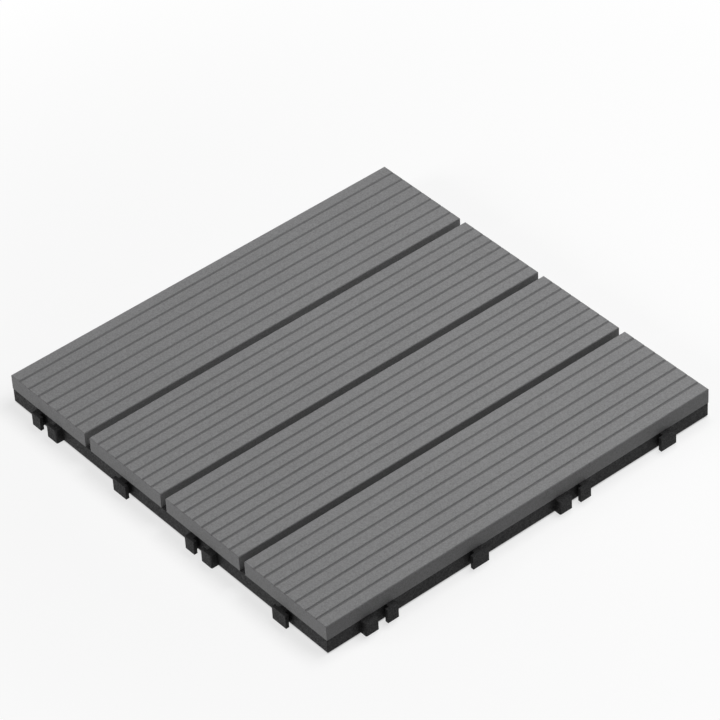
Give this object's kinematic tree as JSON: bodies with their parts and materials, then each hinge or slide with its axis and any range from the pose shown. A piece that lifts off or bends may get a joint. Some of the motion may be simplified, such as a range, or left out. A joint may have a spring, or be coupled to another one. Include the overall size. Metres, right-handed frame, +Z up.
{
  "type": "interlocking deck tile",
  "caption": "Square deck tile: grooved grey composite slats screwed to a black moulded plastic base with interlocking connectors along its sides.",
  "frame": {"origin": "centre of the tile on the ground that its legs stand on", "axes": "+X along the slats, +Y across them from the front slat to the back slat, +Z up through the tread"},
  "size_m": [0.31, 0.31, 0.022],
  "materials": {
    "composite": "matt brushed wood-plastic composite",
    "base_plastic": "matt moulded plastic",
    "screw_steel": "plain stainless steel"
  },
  "bodies": {
    "root": {"front_slat": "composite", "front_middle_slat": "composite", "back_middle_slat": "composite", "back_slat": "composite", "base_grid": "base_plastic", "screws": "screw_steel"}
  },
  "joints": []
}
